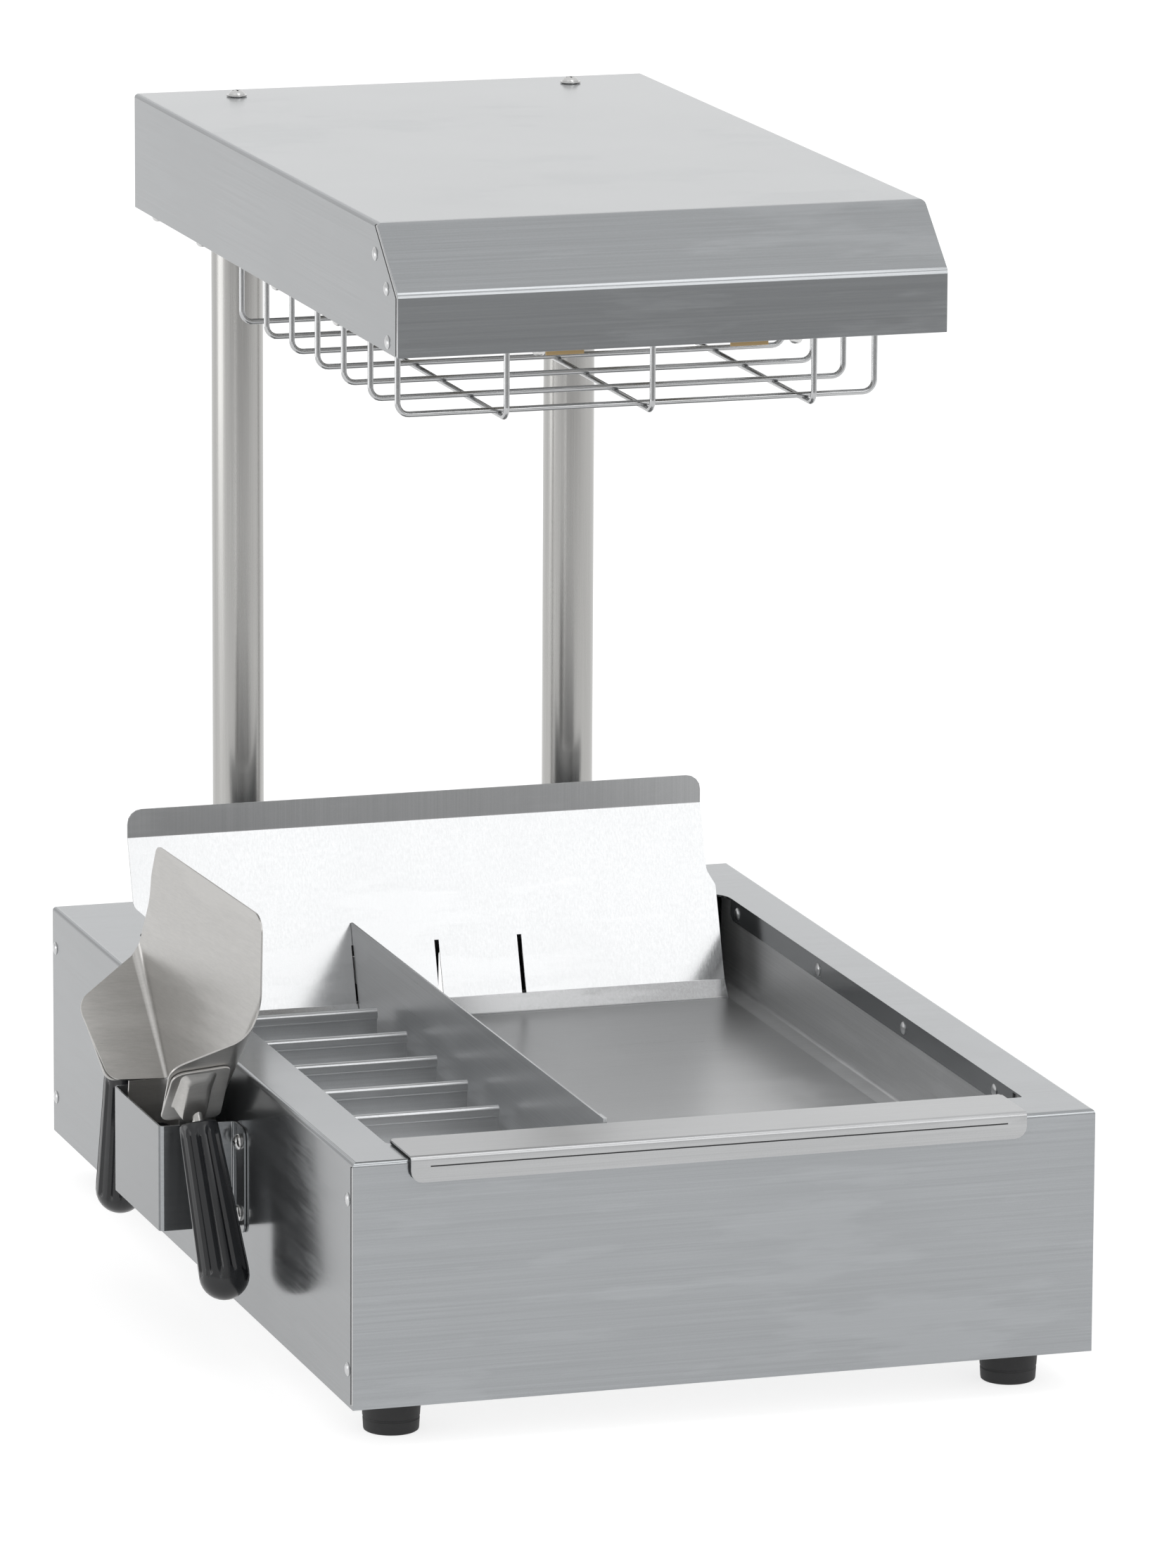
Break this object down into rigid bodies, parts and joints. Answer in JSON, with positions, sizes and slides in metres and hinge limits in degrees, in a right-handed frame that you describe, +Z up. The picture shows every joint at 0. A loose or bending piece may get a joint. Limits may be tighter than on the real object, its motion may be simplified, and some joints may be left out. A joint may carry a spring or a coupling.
{
  "type": "french fry dump station",
  "caption": "Countertop fry dump station: heated well with a lift-out insert, divider and bag rack, an overhead heater hood on posts, side holders and a scoop.",
  "frame": {"origin": "middle of the bounding box's bottom, on the surface that the feet stand on", "axes": "+X to the right seen from the front, +Y from the front to the rear, +Z up"},
  "size_m": [0.4886, 0.6002, 0.598],
  "materials": {
    "casing_steel": "fine horizontal brushing, soft bends",
    "hood_steel": "fine brushing along the width",
    "insert_steel": "bright satin sheet, brushed",
    "rack_steel": "satin sheet",
    "scoop_steel": "satin sheet",
    "post_steel": "tube brushed along its length",
    "inner_steel": "mill finish",
    "wire_steel": "polished wire",
    "screw_steel": "polished heads",
    "reflector_steel": "bright reflector sheet",
    "bracket_bronze": "heat-tinted bronze",
    "heater_ceramic": "matt ceramic",
    "element_sheath": "dark sheathed element",
    "foot_rubber": "matt black rubber",
    "grip_plastic": "fluted black plastic, slightly glossy",
    "switch_plastic": "black plastic",
    "rocker_plastic": "red gloss plastic",
    "lead_rubber": "black sheath"
  },
  "bodies": {
    "root": {"base_casing": "casing_steel", "rear_panel": "casing_steel", "base_bottom_pan": "inner_steel", "foot_front_left": "foot_rubber", "foot_front_right": "foot_rubber", "foot_rear_left": "foot_rubber", "foot_rear_right": "foot_rubber", "switch_housing_1": "switch_plastic", "switch_housing_2": "switch_plastic", "cable_gland": "switch_plastic", "well_liner": "inner_steel", "base_element": "element_sheath", "element_clip_front": "inner_steel", "element_clip_rear": "inner_steel", "heat_shield": "inner_steel", "thermostat": "heater_ceramic", "terminal_block": "heater_ceramic", "post_left": "post_steel", "post_right": "post_steel", "post_plug_left_bottom": "inner_steel", "post_plug_left_top": "inner_steel", "post_plug_right_bottom": "inner_steel", "post_plug_right_top": "inner_steel", "post_screw_left": "screw_steel", "post_screw_right": "screw_steel", "hood_screw_left": "screw_steel", "hood_screw_right": "screw_steel", "hood_lead": "lead_rubber", "hood_shell": "hood_steel", "hood_bottom_panel": "inner_steel", "reflector": "reflector_steel", "heating_tube_left": "heater_ceramic", "heating_tube_right": "heater_ceramic", "tube_bracket_left_front": "bracket_bronze", "tube_bracket_left_rear": "bracket_bronze", "tube_bracket_right_front": "bracket_bronze", "tube_bracket_right_rear": "bracket_bronze", "wire_guard": "wire_steel", "scoop_holder_left": "casing_steel", "scoop_holder_right": "casing_steel", "holder_screw_left_high": "screw_steel", "holder_screw_left_low": "screw_steel", "holder_screw_right_high": "screw_steel", "holder_screw_right_low": "screw_steel"},
    "insert": {"insert_pan": "insert_steel"},
    "divider": {"partition": "rack_steel"},
    "bag_rack": {"bag_rack_base": "rack_steel", "bag_rack_rib_1": "rack_steel", "bag_rack_rib_2": "rack_steel", "bag_rack_rib_3": "rack_steel", "bag_rack_rib_4": "rack_steel", "bag_rack_rib_5": "rack_steel"},
    "scoop": {"scoop_blade": "scoop_steel", "handle_plate_front": "scoop_steel", "handle_plate_rear": "scoop_steel", "handle_grip_front": "grip_plastic", "handle_grip_rear": "grip_plastic"},
    "rocker_1": {"switch_rocker_1": "rocker_plastic"},
    "rocker_2": {"switch_rocker_2": "rocker_plastic"}
  },
  "joints": [
    {"name": "insert_lift", "type": "slide", "parent": "root", "child": "insert", "axis": [0, 0, 1], "range_m": [0, 0.15]},
    {"name": "divider_lift", "type": "slide", "parent": "insert", "child": "divider", "axis": [0, 0, 1], "range_m": [0, 0.08]},
    {"name": "rack_lift", "type": "slide", "parent": "insert", "child": "bag_rack", "axis": [0, 0, 1], "range_m": [0, 0.08]},
    {"name": "scoop_lift", "type": "slide", "parent": "root", "child": "scoop", "axis": [0, 0, 1], "range_m": [0, 0.12]},
    {"name": "switch_1_tip", "type": "hinge", "parent": "root", "child": "rocker_1", "pos_m": [0.13425, 0.2904, 0.082], "axis": [1, 0, 0], "range_deg": [-16, 0]},
    {"name": "switch_2_tip", "type": "hinge", "parent": "root", "child": "rocker_2", "pos_m": [0.17025, 0.2904, 0.082], "axis": [1, 0, 0], "range_deg": [-16, 0]}
  ]
}
